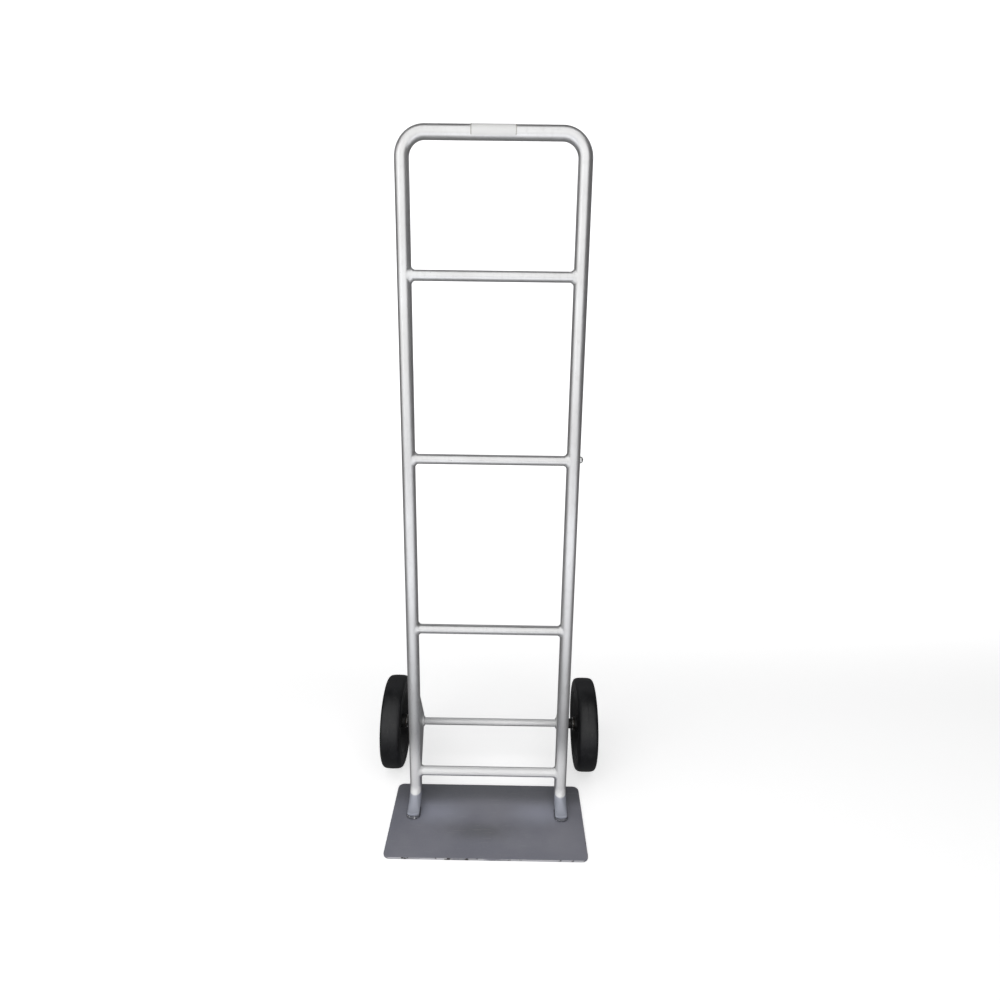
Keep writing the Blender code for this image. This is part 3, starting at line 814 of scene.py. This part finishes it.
def spot(tree, place, centre, reach, ragged=0.0):
    """1 at the centre of an oval patch and 0 at its soft edge."""
    shifted = add_node(tree, "ShaderNodeVectorMath", {0: place, 1: centre}, operation="SUBTRACT").outputs[0]
    shrunk = add_node(tree, "ShaderNodeVectorMath", {0: shifted, 1: reach}, operation="DIVIDE").outputs[0]
    distance = add_node(tree, "ShaderNodeVectorMath", {0: shrunk}, operation="LENGTH").outputs["Value"]
    stray = maths(tree, "MULTIPLY", cloud(tree, place, 40, 4), ragged)
    return share(tree, maths(tree, "ADD", distance, stray), 1.0 + ragged / 2, ragged / 2)


def axis(tree, place, name):
    return add_node(tree, "ShaderNodeSeparateXYZ", {0: place}).outputs[name]


def make_silver_paint(name="silver_paint_look", lumps=0.0):
    """Satin silver paint: flake, orange peel, pits, scuffs, and dirt low down. Lumps roughen a weld.

    Low on the frame the sides that face forward and up are painted lighter and less metallic, a painted
    highlight, and the feet are grey.
    """
    material, tree, shader, place = start_material(name)
    patches = cloud(tree, place, 11, 3)
    colour = tinted(tree, share(tree, patches, 0.3, 0.7), grey(0.665, 0.004), grey(0.735, -0.004))
    mottle = cloud(tree, place, 150, 3, (1, 1, 0.5))
    colour = tinted(tree, scaled(tree, share(tree, mottle, 0.50, 0.72), 0, 0.22), colour, grey(0.52, 0.01))
    flake = cloud(tree, place, 1900, 1)
    colour = tinted(tree, scaled(tree, share(tree, flake, 0.35, 0.65), 0, 0.10), colour, grey(0.92))
    height = axis(tree, place, "Z")
    low_down = share(tree, height, 0.55, 0.10)
    dirt = maths(tree, "MULTIPLY", share(tree, cloud(tree, place, 38, 4), 0.42, 0.75), low_down)
    colour = tinted(tree, scaled(tree, dirt, 0, 0.09), colour, grey(0.26, 0.05))
    # Painted highlight: low on the frame, the sides that face forward and up get a lighter, less metallic
    # colour, as if lit there
    directions = {0: place.node.outputs["Normal"], 1: PAINTED_LIGHT_FROM}
    facing = add_node(tree, "ShaderNodeVectorMath", directions, operation="DOT_PRODUCT").outputs["Value"]
    painted_highlight_low = maths(tree, "MULTIPLY", share(tree, height, 0.185, 0.095), share(tree, facing, 0.36, 0.66))
    colour = tinted(tree, painted_highlight_low, colour, grey(0.97))
    grey_foot = share(tree, height, 0.0335, 0.0305)
    colour = tinted(tree, grey_foot, colour, (0.44, 0.46, 0.53, 1))
    pits = share(tree, cells(tree, place, 140), 0.09, 0.04)
    thin = maths(tree, "MULTIPLY", pits, share(tree, patches, 0.52, 0.6))
    colour = tinted(tree, scaled(tree, thin, 0, 0.75), colour, grey(0.09, 0.06))
    tree.links.new(colour, shader.inputs["Base Color"])
    worn = share(tree, cloud(tree, place, 60, 3, (1, 1, 0.3)), 0.35, 0.75)
    tree.links.new(scaled(tree, worn, 0.33, 0.39), shader.inputs["Roughness"])
    metal = scaled(tree, maths(tree, "MAXIMUM", painted_highlight_low, grey_foot), 0.88, 0.12)
    tree.links.new(metal, shader.inputs["Metallic"])
    peel = raised(tree, cloud(tree, place, 420, 2), 0.00005)
    normal = raised(tree, flake, 0.000006, peel)
    if lumps:
        normal = raised(tree, cloud(tree, place, 260, 3), lumps, normal)
    tree.links.new(normal, shader.inputs["Normal"])
    return material


def make_foot_weld_paint():
    """The plate's paint over the beads round the feet, light near the foot's tip: partly rubbed bare metal
    and partly painted glints.
    """
    material, tree, shader, place = start_material("foot_weld_look", metallic=0.4)
    worn = share(tree, cloud(tree, place, 230, 3), 0.56, 0.66)
    tip = share(tree, axis(tree, place, "Y"), FOOT_TIP_Y + 0.006, FOOT_TIP_Y + 0.001)
    # Near the tip: partly bare, rubbed metal and partly painted glints, lighter and smoother
    bare_and_glint = maths(tree, "MULTIPLY", worn, tip)
    colour = tinted(tree, bare_and_glint, (0.150, 0.154, 0.175, 1), grey(0.85))
    tree.links.new(colour, shader.inputs["Base Color"])
    tree.links.new(scaled(tree, bare_and_glint, 0.50, 0.30), shader.inputs["Roughness"])
    tree.links.new(raised(tree, cloud(tree, place, 260, 3), 0.00025), shader.inputs["Normal"])
    return material


def make_plate_paint():
    """Blue-grey paint on the toe plate: rubbed patches, scratches, a dirty middle and bare, chipped edges,
    with a painted sheen beside the feet and painted shade towards the rear.
    """
    material, tree, shader, place = start_material("plate_paint_look", metallic=0.15)
    low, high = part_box("toe_plate")
    x = maths(tree, "ABSOLUTE", axis(tree, place, "X"))
    y = axis(tree, place, "Y")
    patches = cloud(tree, place, 8, 3)
    dark_blue = (0.262, 0.266, 0.316, 1)
    light_blue = (0.312, 0.312, 0.360, 1)
    colour = tinted(tree, share(tree, patches, 0.35, 0.65), dark_blue, light_blue)
    every_height = 10.0
    smudge = spot(tree, place, (-0.012, -0.128, 0), (0.105, 0.034, every_height), 0.5)
    colour = tinted(tree, scaled(tree, smudge, 0, 0.75), colour, (0.175, 0.178, 0.190, 1))
    # Painted sheen: lighter blue patches beside the feet stand for light reflected off the plate
    for sign in SIDES.values():
        painted_sheen = spot(tree, place, (sign * 0.105, -0.078, 0), (0.085, 0.048, every_height), 0.3)
        colour = tinted(tree, scaled(tree, painted_sheen, 0, 0.55), colour, (0.47, 0.49, 0.59, 1))
    # Painted shade: the plate is darker towards its rear, under the frame
    rear = share(tree, y, -0.062, -0.030)
    colour = tinted(tree, scaled(tree, rear, 0, 0.60), colour, (0.165, 0.170, 0.185, 1))
    fine = cloud(tree, place, 900, 2)
    colour = tinted(tree, scaled(tree, share(tree, fine, 0.3, 0.7), 0, 0.12), colour, (0.50, 0.50, 0.54, 1))
    lines = cloud(tree, place, 70, 2, (0.25, 5, 1), 0.6)
    scratch = share(tree, lines, 0.66, 0.70)
    colour = tinted(tree, scaled(tree, scratch, 0, 0.16), colour, (0.55, 0.55, 0.58, 1))
    edge = maths(tree, "MAXIMUM", share(tree, x, high.x - 0.0022, high.x - 0.0004),
                 maths(tree, "MAXIMUM", share(tree, y, low.y + 0.0022, low.y + 0.0004),
                       share(tree, y, high.y - 0.0022, high.y - 0.0004)))
    ragged = share(tree, cloud(tree, place, 120, 3), 0.42, 0.60)
    bare = maths(tree, "MULTIPLY", edge, ragged)
    colour = tinted(tree, scaled(tree, bare, 0, 0.7), colour, (0.45, 0.45, 0.46, 1))
    front_face = maths(tree, "MULTIPLY", share(tree, y, low.y + 0.0010, low.y + 0.0002),
                       share(tree, cloud(tree, place, 14, 2), 0.38, 0.52))
    colour = tinted(tree, scaled(tree, front_face, 0.0, 0.9), colour, (0.74, 0.74, 0.78, 1))
    chips = maths(tree, "MULTIPLY", edge, share(tree, cloud(tree, place, 75, 2), 0.60, 0.66))
    colour = tinted(tree, chips, colour, (0.045, 0.042, 0.040, 1))
    tree.links.new(colour, shader.inputs["Base Color"])
    rough = scaled(tree, share(tree, cloud(tree, place, 30, 4), 0.3, 0.75), 0.40, 0.56)
    tree.links.new(rough, shader.inputs["Roughness"])
    waves = raised(tree, cloud(tree, place, 16, 1), 0.0006)
    normal = raised(tree, fine, 0.00002, raised(tree, lines, 0.00003, waves))
    tree.links.new(normal, shader.inputs["Normal"])
    return material


def make_rubber():
    """Black solid rubber: dusty grey bloom, scuffs round the tread and fine mould grain."""
    material, tree, shader, place = start_material("rubber_look")
    bloom = share(tree, cloud(tree, place, 45, 4), 0.35, 0.8)
    colour = tinted(tree, bloom, (0.0040, 0.0043, 0.0056, 1), (0.0120, 0.0125, 0.0150, 1))
    dust = share(tree, cloud(tree, place, 180, 3, (3, 1, 1)), 0.60, 0.72)
    colour = tinted(tree, scaled(tree, dust, 0, 0.30), colour, (0.060, 0.058, 0.054, 1))
    tree.links.new(colour, shader.inputs["Base Color"])
    tree.links.new(scaled(tree, bloom, 0.40, 0.60), shader.inputs["Roughness"])
    grain = raised(tree, cloud(tree, place, 1400, 2), 0.00003)
    scuffs = raised(tree, cloud(tree, place, 120, 3, (0.4, 1, 1)), 0.00018, grain)
    tree.links.new(scuffs, shader.inputs["Normal"])
    return material


def make_black_paint():
    """Semi-gloss black paint with dust and small chips."""
    material, tree, shader, place = start_material("black_paint_look")
    dust = share(tree, cloud(tree, place, 55, 4), 0.40, 0.80)
    colour = tinted(tree, dust, (0.014, 0.014, 0.015, 1), (0.040, 0.039, 0.037, 1))
    chips = share(tree, cells(tree, place, 110), 0.10, 0.05)
    colour = tinted(tree, scaled(tree, chips, 0, 0.6), colour, (0.12, 0.10, 0.09, 1))
    tree.links.new(colour, shader.inputs["Base Color"])
    tree.links.new(scaled(tree, dust, 0.32, 0.58), shader.inputs["Roughness"])
    tree.links.new(raised(tree, cloud(tree, place, 380, 2), 0.00006), shader.inputs["Normal"])
    return material


def make_zinc():
    """Zinc plate: a faint spangle, dull spots and fine turning marks."""
    material, tree, shader, place = start_material("zinc_look", metallic=1.0)
    spangle = cells(tree, place, 600)
    colour = tinted(tree, share(tree, spangle, 0.1, 0.6), (0.52, 0.53, 0.55, 1), (0.66, 0.66, 0.65, 1))
    dull = share(tree, cloud(tree, place, 160, 3), 0.50, 0.75)
    colour = tinted(tree, scaled(tree, dull, 0, 0.5), colour, (0.34, 0.33, 0.31, 1))
    tree.links.new(colour, shader.inputs["Base Color"])
    tree.links.new(scaled(tree, dull, 0.26, 0.52), shader.inputs["Roughness"])
    marks = cloud(tree, place, 900, 2, (0.1, 1, 1))
    tree.links.new(raised(tree, marks, 0.00002), shader.inputs["Normal"])
    return material


def make_bronze():
    """Oily sintered bronze with open pores."""
    material, tree, shader, place = start_material("bronze_look", metallic=1.0)
    pores = share(tree, cells(tree, place, 1800), 0.22, 0.08)
    oil = share(tree, cloud(tree, place, 140, 3), 0.4, 0.7)
    colour = tinted(tree, oil, (0.13, 0.10, 0.075, 1), (0.05, 0.042, 0.035, 1))
    colour = tinted(tree, scaled(tree, pores, 0, 0.7), colour, (0.07, 0.045, 0.03, 1))
    tree.links.new(colour, shader.inputs["Base Color"])
    tree.links.new(scaled(tree, oil, 0.52, 0.30), shader.inputs["Roughness"])
    tree.links.new(raised(tree, pores, 0.00002), shader.inputs["Normal"])
    return material


def make_vinyl():
    """Plain white vinyl: a little yellowed, with grime along its edges and a few creases."""
    material, tree, shader, place = start_material("vinyl_look")
    end_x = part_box("label")[1].x
    x = maths(tree, "ABSOLUTE", axis(tree, place, "X"))
    grime = maths(tree, "ADD", share(tree, x, end_x - 0.004, end_x), cloud(tree, place, 240, 3))
    colour = tinted(tree, share(tree, grime, 0.75, 1.5), (0.74, 0.74, 0.73, 1), (0.42, 0.41, 0.38, 1))
    tree.links.new(colour, shader.inputs["Base Color"])
    creases = cloud(tree, place, 150, 2, (1, 1, 0.3))
    tree.links.new(scaled(tree, creases, 0.36, 0.60), shader.inputs["Roughness"])
    tree.links.new(raised(tree, creases, 0.00010), shader.inputs["Normal"])
    return material


# ---- The studio ----


def make_camera():
    """The camera at the viewing angle of the picture."""
    pitch = radians(14.345)
    yaw = radians(-0.369)
    roll = radians(0.755)
    forward = Vector((sin(yaw) * cos(pitch), cos(yaw) * cos(pitch), -sin(pitch)))
    right = Vector((cos(yaw), -sin(yaw), 0))
    up = right.cross(forward)
    turned_right = right * cos(roll) + up * sin(roll)
    turned_up = up * cos(roll) - right * sin(roll)
    data = bpy.data.cameras.new("camera")
    data.sensor_width = 36
    data.lens = 23.294
    data.shift_x = -0.00182
    data.shift_y = -0.02749
    camera = bpy.data.objects.new("camera", data)
    turn = Matrix((turned_right, turned_up, -forward)).transposed()
    camera.matrix_world = Matrix.Translation((0.0282, -1.2163, 1.0324)) @ turn.to_4x4()
    bpy.context.scene.collection.objects.link(camera)
    bpy.context.scene.camera = camera


def seen_and_reflected(tree, seen, reflected):
    """One colour for the camera and another for light that falls on the object."""
    ray = tree.nodes.new("ShaderNodeLightPath").outputs["Is Camera Ray"]
    return tinted(tree, ray, reflected, seen)


def make_stage():
    """A pale floor that curves up into a backdrop behind the truck."""
    half_width = 2.6
    front_y = -2.6
    wall_y = 2.0
    curve_r = 0.7
    wall_z = 3.2
    profile = [(front_y, 0), (wall_y - curve_r, 0)]
    steps = 16
    for step in range(1, steps):
        angle = pi / 2 * step / steps
        profile.append((wall_y - curve_r + curve_r * sin(angle), curve_r * (1 - cos(angle))))
    profile += [(wall_y, curve_r), (wall_y, wall_z)]
    points = []
    faces = []
    for y, z in profile:
        points += [(-half_width, y, z), (half_width, y, z)]
    for row in range(len(profile) - 1):
        start = 2 * row
        faces.append((start, start + 1, start + 3, start + 2))
    mesh = bpy.data.meshes.new("backdrop")
    mesh.from_pydata(points, [], faces)
    mesh.shade_smooth()
    backdrop = bpy.data.objects.new("backdrop", mesh)
    bpy.context.scene.collection.objects.link(backdrop)
    material = bpy.data.materials.new("backdrop_paper")
    material.use_nodes = True
    tree = material.node_tree
    shader = tree.nodes["Principled BSDF"]
    shader.inputs["Roughness"].default_value = 0.9
    shader.inputs["Specular IOR Level"].default_value = 0.0
    colour = seen_and_reflected(tree, grey(0.80), grey(0.10))
    tree.links.new(colour, shader.inputs["Base Color"])
    place = tree.nodes.new("ShaderNodeTexCoord").outputs["Object"]
    y = axis(tree, place, "Y")
    z = axis(tree, place, "Z")
    near_glow = scaled(tree, share(tree, y, -0.08, -1.1), 0.10, 1.10)
    floor_glow = maths(tree, "MULTIPLY", near_glow, scaled(tree, y, 1.0, 1.45, 0, front_y))
    wall_glow = scaled(tree, share(tree, z, 1.5, 1.9), 0, 0.40)
    bounce = tinted(tree, maths(tree, "ADD", floor_glow, wall_glow), grey(0.0), (1.0, 1.01, 1.04, 1))
    seen = tinted(tree, share(tree, y, 0.3, 1.2), grey(0.62), grey(0.90))
    glow = seen_and_reflected(tree, seen, bounce)
    tree.links.new(glow, shader.inputs["Emission Color"])
    shader.inputs["Emission Strength"].default_value = 1.0
    mesh.materials.append(material)
    backdrop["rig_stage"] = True


def make_light(name, location, target, width, height, brightness):
    """A soft panel of even brightness that the camera doesn't see."""
    data = bpy.data.lights.new(name, "AREA")
    data.shape = "RECTANGLE"
    data.size = width
    data.size_y = height
    data.energy = brightness * pi * width * height
    light = bpy.data.objects.new(name, data)
    light.location = location
    aim = Vector(target) - Vector(location)
    light.rotation_euler = aim.to_track_quat("-Z", "Y").to_euler()
    light.visible_camera = False
    bpy.context.scene.collection.objects.link(light)


def make_lights():
    """Wide panels in front, on the left and overhead; it stays dark behind and low on the right."""
    make_light("front_panel", (-0.4, -2.5, 1.6), (-0.4, 0, 1.4), 5.2, 2.6, 1.20)
    make_light("left_panel", (-2.6, -1.35, 1.5), (0, 0, 1.3), 2.2, 2.4, 1.05)
    make_light("top_panel", (-0.3, -1.35, 3.0), (-0.3, -0.95, 0), 4.0, 1.8, 1.22)
    world = bpy.data.worlds.new("studio")
    world.use_nodes = True
    tree = world.node_tree
    background = tree.nodes["Background"]
    tree.links.new(seen_and_reflected(tree, grey(1.0), grey(0.06)), background.inputs["Color"])
    bpy.context.scene.world = world
    bpy.context.scene.view_settings.view_transform = "Standard"


# ---- The whole ----


def make_truck():
    silver = make_silver_paint()
    weld_silver = make_silver_paint("weld_paint_look", lumps=0.00025)
    foot_weld = make_foot_weld_paint()
    zinc = make_zinc()
    bronze = make_bronze()
    black = make_black_paint()
    rubber = make_rubber()
    make_frame_tube(silver)
    make_toe_plate(make_plate_paint())
    make_axle(silver)
    make_weld_lump(weld_silver)
    make_label(make_vinyl())
    for name in RUNG_NAMES:
        make_rung(name, silver)
        for side, sign in SIDES.items():
            make_rung_weld(name, side, sign, silver)
    for side, sign in SIDES.items():
        make_foot_plug(side, sign, silver)
        make_foot_weld(side, sign, foot_weld)
        make_bracket(side, silver)
        make_bracket_welds(side, sign, weld_silver)
        make_axle_weld(side, sign, weld_silver)
        make_ring_piece(f"axle_spacer_{side}", AXLE_R + BORE_PLAY, black)
        for node in (f"washer_inner_{side}", f"washer_outer_{side}"):
            make_ring_piece(node, AXLE_R + BORE_PLAY, zinc)
        make_cotter_pin(side, zinc)
        make_tyre(side, rubber)
        make_ring_piece(f"hub_{side}", spans(f"hub_{side}").z / 2 - HUB_WALL, black, 0.0006)
        make_bush(f"bush_outer_{side}", sign, bronze)
        make_bush(f"bush_inner_{side}", -sign, bronze)
        make_rim(f"rim_outer_{side}", sign, black)
        make_rim(f"rim_inner_{side}", -sign, black)
        for index in range(1, 5):
            make_rivet(f"rivet_{index}_{side}", zinc)


def write_sizes():
    """Works out the CAD box and the finished model's box; neither is kept."""
    boxes = {"cad": cad_box, "visual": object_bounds()}
    {name: [list(low), list(high)] for name, (low, high) in boxes.items()}


make_camera()
make_stage()
make_lights()
make_truck()
write_sizes()
